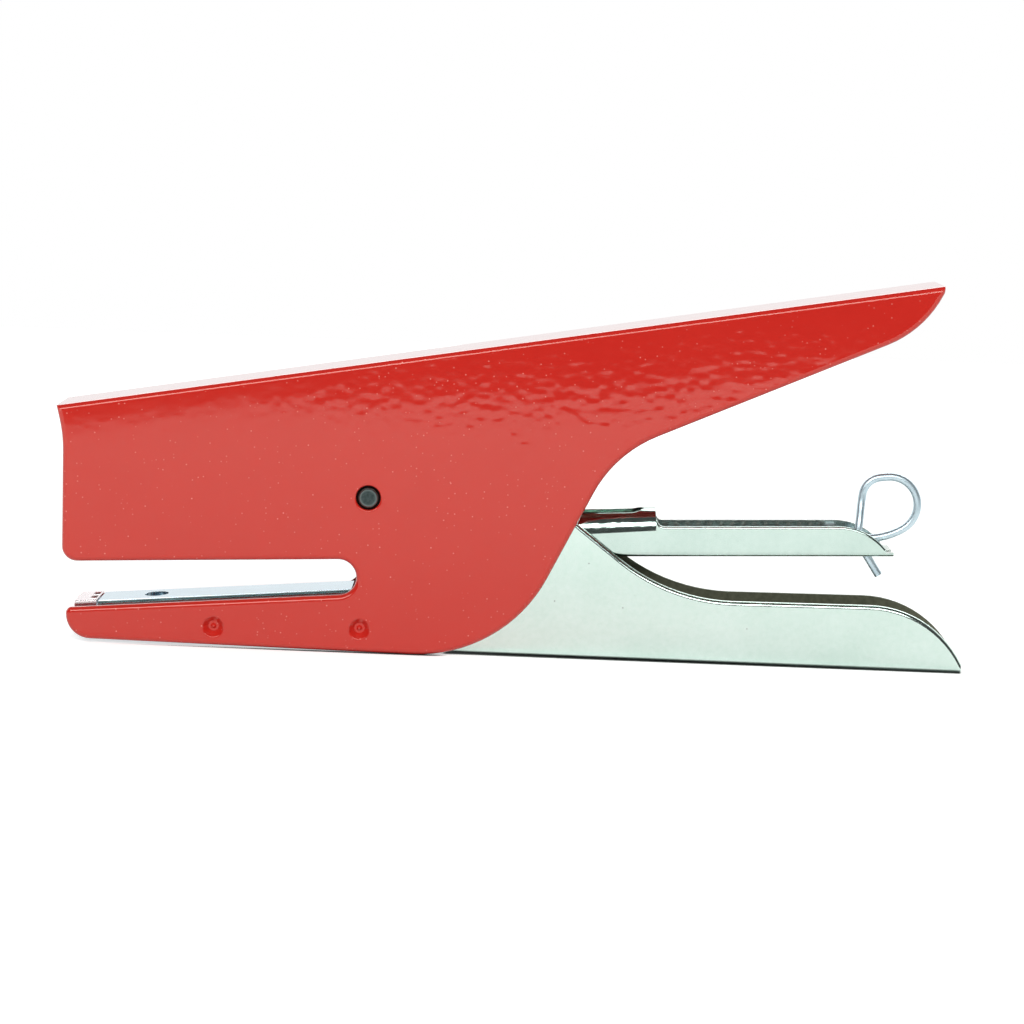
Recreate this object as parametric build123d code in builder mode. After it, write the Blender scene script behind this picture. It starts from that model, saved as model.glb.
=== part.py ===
# Plier stapler in millimetres: X runs from the jaw to the handles, Y across, Z up from the table
import math
import os

from build123d import *

os.makedirs("parts", exist_ok=True)

# Overall sizes, measured from the pivot pin and from the table
jaw_reach = 54.7
handle_reach = 98.3
lever_reach = 105.4
pivot_height = 27.7
spine_front_height = 41.9
spine_tip_height = 68.2

# Staple that the magazine takes
staple_width = 7.0
staple_height = 4.0

# Sheet thicknesses and the gaps between nested channels
body_sheet = 1.1
lever_sheet = 1.0
magazine_sheet = 0.7
anvil_sheet = 1.0
plate_gap = 0.25
staple_play = 0.1
seat_gap = 0.05

# Body outline
front_lean = 1.2
front_flare_drop = 5.0
front_flare_radius = 25.0
jaw_corner_radius = 2.6
upper_edge_front_height = 14.4
upper_edge_throat_height = 16.65
lower_edge_front_height = 6.2
lower_edge_throat_height = 10.45
throat_setback = 1.75
nose_setback = 2.0
nose_radius = 4.3
nose_top_radius = 1.1
nose_height = 0.7
belly_setback = 8.65
belly_radius = 25.7
belly_turn = 64.0
handle_turn = 24.05
handle_depth_at_tip = 6.4
handle_hollow_radius = 22.0
tip_curve_length = 9.2
tip_blunt_height = 1.3
spine_bend_radius = 0.95
edge_round = 0.9

# Dimples pressed into the lower jaw, which hold the anvil channel
front_dimple_setback = 28.05
rear_dimple_lead = 0.95
dimple_height = 3.8
dimple_radius = 1.85
dimple_depth = 1.1
dimple_taper = 40.0
nub_radius = 0.5
nub_height = 0.35
boss_depth = 0.7
hole_round = 0.35

# Pivot pin
pin_radius = 2.1
pin_fit = 0.05
pin_end_radius = 1.72
pin_end_length = 0.7
pin_chamfer = 0.25

# Anvil channel and clinch plate
anvil_proud = 0.55
anvil_shoulder_radius = 1.8
anvil_front_gap = 1.2
anvil_foot_gap = 0.8
anvil_toe = 2.4
anvil_rear_gap = 0.9
anvil_tab_drop = 2.6
anvil_tab_reach = 3.0
anvil_hole_radius = 2.1
anvil_hole_setback = 17.15
clinch_length = 4.2
clinch_thickness = 1.1
clinch_seat_drop = 0.9
clinch_half_width = 4.4
clinch_gap = 0.3
clinch_edge_round = 0.2
groove_width = 1.2
groove_depth = 0.45
groove_radius = 2.6
groove_spread = 1.7

# Lever
tail_height = 1.7
tail_curve_length = 16.6
crest_height = 11.6
crest_front_height = 11.4
crest_length = 40.8
lever_hollow_radius = 33.0
lever_rise = 37.4
lever_floor_front = 14.0
lever_floor_rise = 0.46
lever_bend_radius = 1.3
lever_edge_round = 0.7
arm_gap = 0.4
arm_front_setback = 4.6
arm_under_bar = 3.6
heel_lead = 6.0
heel_drop = 7.5
arm_shoulder_radius = 20.0
arm_corner_radius = 2.0
heel_radius = 8.0
cross_pin_radius = 1.5
cross_pin_fit = 0.03
spacer_lead = 12.4
spacer_lift = 6.8

# Magazine, in its own slanted frame with the pivot as zero
magazine_slope = 2.13
floor_drop = 10.9
tray_wall_height = 5.4
hood_height = 8.1
hood_end = 50.4
hood_shoulder_radius = 2.3
crown_start = 20.0
crown_place = 37.0
crown_radius = 4.1
crown_end_radius = 3.4
tray_length = 90.8
tray_bend_radius = 0.9
tray_edge_round = 0.4
tray_step_slope = 0.7
tray_step_height = 1.6
tray_step_radius = 1.1
tray_end_height = 1.4
tray_end_curve = 8.4
floor_lip = 1.4
front_setback = 2.3
front_ear_height = 9.0
front_ear_length = 3.2
hood_front_gap = 1.2
pivot_ear_radius = 4.6
pivot_window_margin = 0.8
slot_start = 12.0
slot_end = 48.4
slot_half_width = 2.4
front_plate_thickness = 0.8
tab_height = 2.4
tab_levels = (-7.6, 4.0)
tab_fit = 0.03

# Driver
blade_thickness = 0.7
blade_gap = 0.1
blade_edge_gap = 0.15
exit_gap = 0.2
blade_top = 13.2
bar_setback = 4.5
bar_lift = 10.0
holder_wall = 0.9
holder_bottom = 5.6
holder_cheek_bottom = 7.2
holder_cheek_length = 7.2
holder_play = 0.15
holder_side_gap = 0.2
driver_rivet_radius = 0.8
driver_rivet_head = 1.05
driver_rivet_head_height = 0.5
driver_rivet_spread = 1.3
driver_rivet_lift = 7.4

# Angles that the lever and the magazine turn through in a full squeeze
lever_travel = 15.0
magazine_travel = 8.0

# Leaf spring on the hood
leaf_thickness = 0.5
leaf_half_width = 1.5
leaf_rear = 8.0
leaf_foot = 11.0
leaf_bend_radius = 24.0
leaf_bar_gap = 0.2
leaf_rivet_radius = 1.0
leaf_rivet_head = 1.6
leaf_rivet_head_height = 0.5

# Return spring on the pin
return_wire = 0.8
return_coil_gap = 0.4
return_pitch = 1.3
return_turns = 4
return_leg_gap = 0.25

# Pusher, rod and pusher spring
pusher_length = 13.0
pusher_sheet = 0.7
pusher_gap = 0.15
pusher_side_gap = 0.1
pusher_front_gap = 0.3
rod_radius = 0.7
rod_lift = 2.7
rod_fit = 0.1
rod_head_radius = 1.3
rod_head_length = 0.8
rod_head_gap = 0.3
ring_lead_start = 88.2
ring_lead_radius = 12.0
ring_lead_turn = 30.7
ring_radius = 5.0
ring_turn = 155.0
ring_top_length = 1.2
ring_corner_radius = 3.4
ring_corner_turn = 76.0
leg_offset = 1.95
leg_shift_depth = 7.0
leg_turn = 40.0
leg_bend_radius = 2.5
leg_length = 6.6
leg_slot_width = 2.0
leg_slot_start = 85.2
collar_rear_gap = 2.2
collar_length = 1.6
collar_radius = 1.7
spring_wire = 0.5
spring_mean_radius = 1.4
spring_turns = 58
spring_seat_gap = 0.1

# Half widths, from the staple outwards
magazine_inner = staple_width / 2 + staple_play
magazine_half = magazine_inner + magazine_sheet
lever_inner = magazine_half + plate_gap
lever_half = lever_inner + lever_sheet
body_inner = lever_half + plate_gap
body_half = body_inner + body_sheet
anvil_half = body_inner - seat_gap
return_mean_radius = pin_radius + return_coil_gap + return_wire / 2

# Places along X, with the middle of the whole length as zero
pivot_x = (jaw_reach - lever_reach) / 2
front_x = pivot_x - jaw_reach
tail_x = pivot_x + lever_reach
tip_x = pivot_x + handle_reach
throat_x = pivot_x - throat_setback
nose_x = front_x + nose_setback
belly_x = pivot_x + belly_setback


def slope_between(first, second):
    """Rise over run from one point to another."""
    return (second[1] - first[1]) / (second[0] - first[0])


def line_through(point, slope):
    """Height of a straight line as a function of X."""
    return lambda x: point[1] + slope * (x - point[0])


def crossing(first, first_angle, second, second_angle):
    """Point where two straight lines, each a point and an angle in degrees, meet."""
    first_slope = math.tan(math.radians(first_angle))
    second_slope = math.tan(math.radians(second_angle))
    run = second[1] - first[1] + first_slope * first[0] - second_slope * second[0]
    x = run / (first_slope - second_slope)
    return (x, first[1] + first_slope * (x - first[0]))


def bend_waste(half, radius, side_of_face):
    """Corners outside the two bends of a folded channel, drawn in the open sketch."""
    rise = -radius if side_of_face == Align.MIN else radius
    for place, side in ((half - radius, Align.MIN), (radius - half, Align.MAX)):
        with Locations((place, rise)):
            Rectangle(2 * radius, 2 * radius, align=(side, side_of_face))
            Circle(radius, mode=Mode.SUBTRACT)


# Straight edges of the body
spine_front = (front_x, spine_front_height)
spine_tip = (tip_x, spine_tip_height)
spine_slope = slope_between(spine_front, spine_tip)
spine_angle = math.degrees(math.atan(spine_slope))
spine = line_through(spine_front, spine_slope)
spine_drop = body_sheet / math.cos(math.radians(spine_angle))

upper_front = (front_x + front_lean, upper_edge_front_height)
upper_slope = slope_between(upper_front, (throat_x, upper_edge_throat_height))
upper_edge = line_through(upper_front, upper_slope)
lower_front = (nose_x, lower_edge_front_height)
lower_slope = slope_between(lower_front, (throat_x, lower_edge_throat_height))
lower_edge = line_through(lower_front, lower_slope)
nose_side = (nose_x, nose_height + nose_radius)
jaw_bottom_slope = slope_between((nose_x + nose_radius, nose_height), (belly_x, 0))
jaw_bottom = line_through((belly_x, 0), jaw_bottom_slope)

# Round end of the mouth, tangent to both edges and ending at the throat
upper_stretch = math.hypot(1, upper_slope)
lower_stretch = math.hypot(1, lower_slope)
throat_gap = upper_edge(throat_x) - lower_edge(throat_x)
mouth_radius = throat_gap / (upper_stretch + lower_stretch + upper_slope - lower_slope)
mouth_x = throat_x - mouth_radius
mouth_z = lower_edge(mouth_x) + mouth_radius * lower_stretch
mouth_low = (mouth_x + mouth_radius * lower_slope / lower_stretch, mouth_z - mouth_radius / lower_stretch)
mouth_high = (mouth_x - mouth_radius * upper_slope / upper_stretch, mouth_z + mouth_radius / upper_stretch)

# Belly, hollow under the handle and tip of the handle
belly_sine = math.sin(math.radians(belly_turn))
belly_cosine = math.cos(math.radians(belly_turn))
belly_end = (belly_x + belly_radius * belly_sine, belly_radius * (1 - belly_cosine))
handle_end = (tip_x, spine_tip_height - handle_depth_at_tip)
handle_line = line_through(handle_end, math.tan(math.radians(handle_turn)))
handle_corner = crossing(belly_end, belly_turn, handle_end, handle_turn)
tip_curve_start = (tip_x - tip_curve_length, handle_line(tip_x - tip_curve_length))
tip_low = (tip_x, spine_tip_height - tip_blunt_height)

front_dimple = (front_x + front_dimple_setback, dimple_height)
rear_dimple = (pivot_x - rear_dimple_lead, dimple_height + body_sheet / 2)
dimples = (front_dimple, rear_dimple)
spine_axis = Axis((0, 0, 0), (1, 0, spine_slope))
spine_start = (front_x - jaw_reach, 0, spine(front_x - jaw_reach))

# Body: one folded sheet with spine, side plates and the slot of the mouth
with BuildPart() as body_shell:
    with BuildSketch(Plane.XZ):
        with BuildLine():
            belly = JernArc((belly_x, 0), (1, 0), belly_radius, belly_turn)
            hollow = FilletPolyline(belly @ 1, handle_corner, tip_curve_start, radius=handle_hollow_radius)
            TangentArc(hollow @ 1, tip_low, tangent=hollow % 1)
            Polyline(tip_low, spine_tip, spine_front)
            FilletPolyline(
                spine_front,
                (upper_front[0], spine_front_height - front_flare_drop),
                upper_front,
                mouth_high,
                radius=[front_flare_radius, jaw_corner_radius],
            )
            ThreePointArc(mouth_high, (throat_x, mouth_z), mouth_low)
            FilletPolyline(mouth_low, lower_front, nose_side, radius=nose_top_radius)
            nose = JernArc(nose_side, (0, -1), nose_radius, 90)
            Line(nose @ 1, belly @ 0)
        make_face()
    extrude(amount=body_half, both=True)
    rim = body_shell.faces().filter_by(Axis.Y).edges()
    sharp_lines = rim.filter_by(spine_axis) + rim.filter_by(Axis.Z).group_by(Axis.X)[-1]
    fillet([edge for edge in rim if edge not in sharp_lines], radius=edge_round)
    with BuildSketch(Plane(origin=spine_start, x_dir=(0, 1, 0), z_dir=spine_axis.direction)):
        bend_waste(body_half, spine_bend_radius, Align.MIN)
    extrude(amount=2 * (jaw_reach + handle_reach), mode=Mode.SUBTRACT)
    with BuildSketch(Plane.XZ):
        with BuildLine():
            beyond = jaw_reach
            Polyline(
                (front_x - beyond, spine(front_x - beyond) - spine_drop),
                (tip_x + beyond, spine(tip_x + beyond) - spine_drop),
                (tip_x + beyond, -beyond),
                (front_x - beyond, -beyond),
                close=True,
            )
        make_face()
    extrude(amount=body_inner, both=True, mode=Mode.SUBTRACT)
    with BuildSketch(Plane.XZ):
        with Locations((pivot_x, pivot_height)):
            Circle(pin_radius + pin_fit)
    extrude(amount=body_half, both=True, mode=Mode.SUBTRACT)
    for side in (-1, 1):
        for dimple_x, dimple_z in dimples:
            dimple_place = (dimple_x, side * body_half, dimple_z)
            outside = Plane(origin=dimple_place, x_dir=(1, 0, 0), z_dir=(0, side, 0))
            with BuildSketch(outside.offset(-body_sheet)):
                Circle(dimple_radius)
            extrude(amount=-boss_depth)
            with BuildSketch(outside):
                Circle(dimple_radius)
            extrude(amount=-dimple_depth, taper=dimple_taper, mode=Mode.SUBTRACT)
            with BuildSketch(outside.offset(-dimple_depth)):
                Circle(nub_radius)
            extrude(amount=nub_height, taper=dimple_taper)
    plates = body_shell.faces().filter_by(Axis.Y).group_by(Axis.Y)
    holes = (plates[0] + plates[-1]).edges().filter_by(GeomType.CIRCLE)
    fillet([edge for edge in holes if edge.is_closed], radius=hole_round)
body_shell.part.label = "body_shell"
export_step(body_shell.part, "parts/body_shell.step")

# Pivot pin: turned steel, its ends reduced where they show in the holes of the body
with BuildPart() as pivot_pin:
    with BuildSketch(Plane.XZ):
        with Locations((pivot_x, pivot_height)):
            Circle(pin_radius)
    extrude(amount=body_half - pin_end_length, both=True)
    with BuildSketch(Plane.XZ):
        with Locations((pivot_x, pivot_height)):
            Circle(pin_end_radius)
    extrude(amount=body_half, both=True)
    pin_ends = pivot_pin.faces().filter_by(Axis.Y).sort_by(Axis.Y)
    chamfer(pin_ends[0].edges() + pin_ends[-1].edges(), length=pin_chamfer)
pivot_pin.part.label = "pivot_pin"
export_step(pivot_pin.part, "parts/pivot_pin.step")

# Anvil channel: inverted channel between the plates of the lower jaw
anvil_front = nose_x + anvil_front_gap
clinch_rear = anvil_front + clinch_length
anvil_rear = throat_x - anvil_rear_gap
anvil_tab = pivot_x + anvil_tab_reach
anvil_hole_x = front_x + anvil_hole_setback


def anvil_top(x):
    """Height of the anvil's working face."""
    return lower_edge(x) + anvil_proud


def clinch_seat(x):
    """Height of the lowered front that the clinch plate lies on."""
    return anvil_top(x) - clinch_seat_drop


def anvil_foot(x):
    """Height of the anvil's wall edges above the bottom of the jaw."""
    return jaw_bottom(x) + anvil_foot_gap


with BuildPart() as anvil_channel:
    with BuildSketch(Plane.XZ):
        with BuildLine():
            Polyline(
                (anvil_front, clinch_seat(anvil_front)),
                (clinch_rear, clinch_seat(clinch_rear)),
                (clinch_rear, anvil_top(clinch_rear)),
                (anvil_rear, anvil_top(anvil_rear)),
                (anvil_rear, anvil_top(anvil_rear) - anvil_tab_drop),
                (anvil_tab, anvil_top(anvil_rear) - anvil_tab_drop),
                (anvil_tab, anvil_foot(anvil_tab)),
                (anvil_front + anvil_toe, anvil_foot(anvil_front + anvil_toe)),
                (anvil_front, anvil_foot(anvil_front) + anvil_toe / 2),
                close=True,
            )
        make_face()
    extrude(amount=anvil_half, both=True)
    anvil_start = (front_x, 0, anvil_top(front_x))
    with BuildSketch(Plane(origin=anvil_start, x_dir=(0, 1, 0), z_dir=(1, 0, lower_slope))):
        bend_waste(anvil_half, anvil_shoulder_radius, Align.MIN)
    extrude(amount=jaw_reach, mode=Mode.SUBTRACT)
    with BuildSketch(Plane.XZ):
        with BuildLine():
            web_start = clinch_rear + anvil_sheet
            Polyline(
                (front_x, clinch_seat(front_x) - anvil_sheet),
                (web_start, clinch_seat(web_start) - anvil_sheet),
                (web_start, anvil_top(web_start) - anvil_sheet),
                (anvil_tab + anvil_tab_reach, anvil_top(anvil_tab + anvil_tab_reach) - anvil_sheet),
                (anvil_tab + anvil_tab_reach, -anvil_toe),
                (front_x, -anvil_toe),
                close=True,
            )
        make_face()
    extrude(amount=anvil_half - anvil_sheet, both=True, mode=Mode.SUBTRACT)
    with BuildSketch(Plane.XY.offset(anvil_top(anvil_hole_x) + anvil_sheet)):
        with Locations((anvil_hole_x, 0)):
            Circle(anvil_hole_radius)
    extrude(amount=-3 * anvil_sheet, mode=Mode.SUBTRACT)
    with BuildSketch(Plane.XZ):
        with Locations(*dimples):
            Circle(dimple_radius + seat_gap)
    extrude(amount=anvil_half, both=True, mode=Mode.SUBTRACT)
anvil_channel.part.label = "anvil_channel"
export_step(anvil_channel.part, "parts/anvil_channel.step")

# Magazine frame: an axis that rises a little to the rear, with the pivot as its zero
slope_cosine = math.cos(math.radians(magazine_slope))
slope_sine = math.sin(math.radians(magazine_slope))
magazine_axis = Vector(slope_cosine, 0, slope_sine)
magazine_side = Plane(origin=(pivot_x, 0, pivot_height), x_dir=magazine_axis, z_dir=(0, -1, 0))
magazine_up = Vector(-slope_sine, 0, slope_cosine)


def magazine_section(along):
    """Plane across the magazine, this far behind the pivot."""
    return Plane(origin=magazine_side.from_local_coords((along, 0, 0)), x_dir=(0, 1, 0), z_dir=magazine_axis)


def in_world(along, up):
    """X and Z of a point in the magazine's slanted frame."""
    point = magazine_side.from_local_coords((along, up, 0))
    return (point.X, point.Z)


magazine_front = front_setback - jaw_reach
floor_bottom = -floor_drop
floor_top = floor_bottom + magazine_sheet
tray_top = floor_bottom + tray_wall_height
hood_top = floor_bottom + hood_height
hood_plan = Plane(
    origin=magazine_side.from_local_coords((0, hood_top, 0)), x_dir=magazine_axis, z_dir=magazine_up
)
blade_front = magazine_front + front_plate_thickness + blade_gap
blade_rear = blade_front + blade_thickness
floor_front = blade_rear + exit_gap
hood_front = magazine_front + front_ear_length + hood_front_gap

# Drive bar's place at rest and at full squeeze, as the magazine sees it
bar_along = blade_rear + bar_setback
bar_radius = math.hypot(bar_along, bar_lift)
bar_angle = math.atan2(bar_lift, bar_along) + math.radians(lever_travel - magazine_travel)
bar_shift = bar_along - bar_radius * math.cos(bar_angle)
driver_stroke = bar_lift - bar_radius * math.sin(bar_angle)
print("driver stroke", round(driver_stroke, 3), "bar shift", round(bar_shift, 3))

# Clinch plate: its grooves lie where the blade lands at full squeeze
landing = math.radians(magazine_slope + magazine_travel)
blade_middle = (blade_front + blade_rear) / 2
landing_x = pivot_x + blade_middle * math.cos(landing) + floor_drop * math.sin(landing)
clinch_front = anvil_front
clinch_back = clinch_rear - clinch_gap
clinch_normal = Vector(-lower_slope, 0, 1).normalized()
clinch_lift = clinch_thickness / clinch_normal.Z

with BuildPart() as clinch_plate:
    with BuildSketch(Plane.XZ):
        with BuildLine():
            Polyline(
                (clinch_front, clinch_seat(clinch_front)),
                (clinch_back, clinch_seat(clinch_back)),
                (clinch_back, clinch_seat(clinch_back) + clinch_lift),
                (clinch_front, clinch_seat(clinch_front) + clinch_lift),
                close=True,
            )
        make_face()
    extrude(amount=clinch_half_width, both=True)
    fillet(clinch_plate.faces().sort_by(Axis.Z)[-1].edges(), radius=clinch_edge_round)
    clinch_top = (landing_x, 0, clinch_seat(landing_x) + clinch_lift)
    with BuildSketch(Plane(origin=clinch_top, x_dir=(0, 1, 0), z_dir=(1, 0, lower_slope))):
        with Locations(
            (-groove_spread, groove_radius - groove_depth),
            (groove_spread, groove_radius - groove_depth),
        ):
            Circle(groove_radius)
    extrude(amount=groove_width / 2, both=True, mode=Mode.SUBTRACT)
clinch_plate.part.label = "clinch_plate"
export_step(clinch_plate.part, "parts/clinch_plate.step")

# Lever: channel folded along its bottom edge, with two arms that run forward under the spine
bar_place = in_world(bar_along, bar_lift)
spacer_place = in_world(-spacer_lead, spacer_lift)
crest_end = (tail_x - tail_curve_length, crest_height)
crest_start = (tail_x - crest_length, crest_front_height)
rise_sine = math.sin(math.radians(lever_rise))
rise_cosine = math.cos(math.radians(lever_rise))
rise_start = (
    crest_start[0] - lever_hollow_radius * rise_sine,
    crest_start[1] + lever_hollow_radius * (1 - rise_cosine),
)
arm_front = front_x + arm_front_setback
arm_top = line_through((front_x, spine_front_height - spine_drop - arm_gap), spine_slope)
arm_shoulder = crossing(rise_start, -lever_rise, (arm_front, arm_top(arm_front)), spine_angle)
lever_toe = (pivot_x + lever_floor_front, lever_floor_rise)
lever_heel = (pivot_x - heel_lead, pivot_height - heel_drop)
floor_slope = slope_between(lever_toe, (tail_x, 0))
lever_floor = line_through((tail_x, 0), floor_slope)

with BuildPart() as lever_channel:
    with BuildSketch(Plane.XZ):
        with BuildLine():
            TangentArc(crest_end, (tail_x, tail_height), tangent=(1, 0))
            Line(crest_end, crest_start)
            JernArc(crest_start, (-1, 0), lever_hollow_radius, -lever_rise)
            FilletPolyline(
                rise_start,
                arm_shoulder,
                (arm_front, arm_top(arm_front)),
                (arm_front, bar_place[1] - arm_under_bar),
                lever_heel,
                lever_toe,
                radius=[arm_shoulder_radius, arm_corner_radius, arm_corner_radius, heel_radius],
            )
            Polyline(lever_toe, (tail_x, 0), (tail_x, tail_height))
        make_face()
    extrude(amount=lever_half, both=True)
    floor_axis = Axis((0, 0, 0), (1, 0, floor_slope))
    rim = lever_channel.faces().filter_by(Axis.Y).edges()
    sharp_lines = rim.filter_by(floor_axis) + rim.filter_by(Axis.Z).group_by(Axis.X)[-1]
    fillet([edge for edge in rim if edge not in sharp_lines], radius=lever_edge_round)
    floor_start = (front_x, 0, lever_floor(front_x))
    with BuildSketch(Plane(origin=floor_start, x_dir=(0, 1, 0), z_dir=floor_axis.direction)):
        bend_waste(lever_half, lever_bend_radius, Align.MAX)
    extrude(amount=2 * (jaw_reach + lever_reach), mode=Mode.SUBTRACT)
    with BuildSketch(Plane.XZ):
        with BuildLine():
            Polyline(
                (front_x, lever_floor(front_x) + lever_sheet),
                (tail_x + lever_sheet, lever_floor(tail_x + lever_sheet) + lever_sheet),
                (tail_x + lever_sheet, spine_tip_height),
                (front_x, spine_tip_height),
                close=True,
            )
        make_face()
    extrude(amount=lever_inner, both=True, mode=Mode.SUBTRACT)
    with BuildSketch(Plane.XZ):
        with Locations((pivot_x, pivot_height)):
            Circle(pin_radius + pin_fit)
        with Locations(bar_place, spacer_place):
            Circle(cross_pin_radius + cross_pin_fit)
    extrude(amount=lever_half, both=True, mode=Mode.SUBTRACT)
lever_channel.part.label = "lever_channel"
export_step(lever_channel.part, "parts/lever_channel.step")

# Drive bar: cross pin at the front of the lever's arms
with BuildPart() as drive_bar:
    with BuildSketch(Plane.XZ):
        with Locations(bar_place):
            Circle(cross_pin_radius)
    extrude(amount=lever_half, both=True)
    chamfer(drive_bar.edges().filter_by(GeomType.CIRCLE), length=pin_chamfer)
drive_bar.part.label = "drive_bar"
export_step(drive_bar.part, "parts/drive_bar.step")

# Arm spacer: second cross pin, which the return spring lifts
with BuildPart() as arm_spacer:
    with BuildSketch(Plane.XZ):
        with Locations(spacer_place):
            Circle(cross_pin_radius)
    extrude(amount=lever_half, both=True)
    chamfer(arm_spacer.edges().filter_by(GeomType.CIRCLE), length=pin_chamfer)
arm_spacer.part.label = "arm_spacer"
export_step(arm_spacer.part, "parts/arm_spacer.step")


def tray_outline():
    """Open channel of the tray, drawn in the open sketch."""
    with Locations((0, floor_bottom)):
        outer = Rectangle(2 * magazine_half, tray_wall_height, align=(Align.CENTER, Align.MIN))
    fillet(outer.vertices().group_by(Axis.Y)[0], radius=tray_bend_radius)
    with Locations((0, floor_top)):
        Rectangle(2 * magazine_inner, tray_wall_height, align=(Align.CENTER, Align.MIN), mode=Mode.SUBTRACT)


def hood_outline(half, bottom, top, shoulder_radius):
    """Closed outline under the hood, drawn in the open sketch."""
    with Locations((0, bottom)):
        outline = Rectangle(2 * half, top - bottom, align=(Align.CENTER, Align.MIN))
    fillet(outline.vertices().group_by(Axis.Y)[-1], radius=shoulder_radius)


# Magazine: tray with straight walls, a hood over its front, ears for the pin and for the front plate
hood_sections = (
    (hood_front, hood_shoulder_radius),
    (crown_start, hood_shoulder_radius),
    (crown_place, crown_radius),
    (hood_end, crown_end_radius),
)
with BuildPart() as magazine_channel:
    for along, shoulder in hood_sections:
        with BuildSketch(magazine_section(along)):
            hood_outline(magazine_half, floor_bottom, hood_top, shoulder)
    loft(ruled=True)
    fillet(
        magazine_channel.faces().sort_by(Axis.Z)[0].edges().filter_by(Axis((0, 0, 0), magazine_axis)),
        radius=tray_bend_radius,
    )
    for along, shoulder in hood_sections:
        with BuildSketch(magazine_section(along)):
            hood_outline(magazine_inner, floor_top, hood_top - magazine_sheet, shoulder - magazine_sheet)
    loft(ruled=True, mode=Mode.SUBTRACT)
    with BuildSketch(magazine_section(magazine_front)):
        tray_outline()
    extrude(amount=hood_front - magazine_front)
    with BuildSketch(magazine_section(hood_end)):
        tray_outline()
    extrude(amount=tray_length + floor_lip - hood_end)
    with BuildSketch(magazine_side):
        with Locations((0, hood_top + hood_height / 2)):
            Rectangle(2 * (pivot_ear_radius + pivot_window_margin), hood_height + 2 * hood_shoulder_radius)
    extrude(amount=magazine_half, both=True, mode=Mode.SUBTRACT)
    for side in (-1, 1):
        with BuildSketch(magazine_side.offset(side * magazine_inner)):
            Circle(pivot_ear_radius)
            with Locations((0, tray_top / 2)):
                Rectangle(2 * pivot_ear_radius, -tray_top)
            with Locations((magazine_front, tray_top)):
                Rectangle(
                    front_ear_length, front_ear_height - tray_top, align=(Align.MIN, Align.MIN)
                )
        extrude(amount=side * magazine_sheet)
        with BuildSketch(magazine_side.offset(side * magazine_inner)):
            with BuildLine():
                step = FilletPolyline(
                    (hood_end, tray_top + tray_step_height),
                    (hood_end + tray_step_slope, tray_top),
                    (hood_end + tray_step_slope + 2 * tray_step_radius, tray_top),
                    radius=tray_step_radius,
                )
                Polyline(
                    step @ 1,
                    (step @ 1) - Vector(0, magazine_sheet),
                    (hood_end, tray_top - magazine_sheet),
                    step @ 0,
                )
            make_face()
        extrude(amount=side * magazine_sheet)
    with BuildSketch(magazine_side):
        with BuildLine():
            end_low = (tray_length, floor_bottom + tray_end_height)
            fall = TangentArc((tray_length - tray_end_curve, tray_top), end_low, tangent=(1, 0))
            Polyline(
                fall @ 1,
                (tray_length, floor_top),
                (tray_length + 2 * floor_lip, floor_top),
                (tray_length + 2 * floor_lip, tray_top + magazine_sheet),
                (tray_length - tray_end_curve, tray_top + magazine_sheet),
                fall @ 0,
            )
        make_face()
    extrude(amount=magazine_half, both=True, mode=Mode.SUBTRACT)
    walls = magazine_channel.faces().filter_by(Axis.Y).group_by(Axis.Y)
    tray_rims = []
    for edge in (walls[0] + walls[-1]).edges().filter_by(Axis((0, 0, 0), magazine_axis)):
        middle = magazine_side.to_local_coords(edge.center())
        if middle.X > hood_end and middle.Y > floor_bottom + tray_wall_height / 2:
            tray_rims.append(edge)
    fillet(tray_rims, radius=tray_edge_round)
    with BuildSketch(magazine_side):
        Circle(pin_radius + pin_fit)
    extrude(amount=magazine_half, both=True, mode=Mode.SUBTRACT)
    with BuildSketch(magazine_side):
        with Locations(((magazine_front + floor_front) / 2, floor_bottom)):
            Rectangle(floor_front - magazine_front, 2 * magazine_sheet)
    extrude(amount=magazine_inner, both=True, mode=Mode.SUBTRACT)
    with BuildSketch(magazine_side):
        for level in tab_levels:
            with Locations((magazine_front, level)):
                Rectangle(
                    front_plate_thickness + tab_fit, tab_height + 2 * tab_fit, align=(Align.MIN, Align.CENTER)
                )
    extrude(amount=magazine_half, both=True, mode=Mode.SUBTRACT)
    with BuildSketch(hood_plan.offset(hood_height)):
        with Locations(((slot_start + slot_end) / 2, 0)):
            SlotOverall(slot_end - slot_start, 2 * slot_half_width)
    extrude(amount=-hood_height - slot_half_width, mode=Mode.SUBTRACT)
    with BuildSketch(hood_plan.offset(-hood_height)):
        with Locations((leg_slot_start, -leg_offset)):
            Rectangle(
                tray_length + 2 * floor_lip - leg_slot_start, leg_slot_width, align=(Align.MIN, Align.CENTER)
            )
    extrude(amount=2 * magazine_sheet, both=True, mode=Mode.SUBTRACT)
    with BuildSketch(hood_plan):
        with Locations((-leaf_rear - leaf_foot / 2, 0)):
            Circle(leaf_rivet_radius + tab_fit)
    extrude(amount=-2 * magazine_sheet, mode=Mode.SUBTRACT)
magazine_channel.part.label = "magazine_channel"
export_step(magazine_channel.part, "parts/magazine_channel.step")

# Front plate: closes the magazine's front, its tabs in slots of both walls
with BuildPart() as front_plate:
    with BuildSketch(magazine_section(magazine_front)):
        with Locations((0, floor_bottom)):
            Rectangle(
                2 * (magazine_inner - tab_fit),
                front_ear_height - floor_bottom,
                align=(Align.CENTER, Align.MIN),
            )
        for level in tab_levels:
            with Locations((0, level)):
                Rectangle(2 * magazine_half, tab_height)
    extrude(amount=front_plate_thickness)
front_plate.part.label = "front_plate"
export_step(front_plate.part, "parts/front_plate.step")

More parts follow.
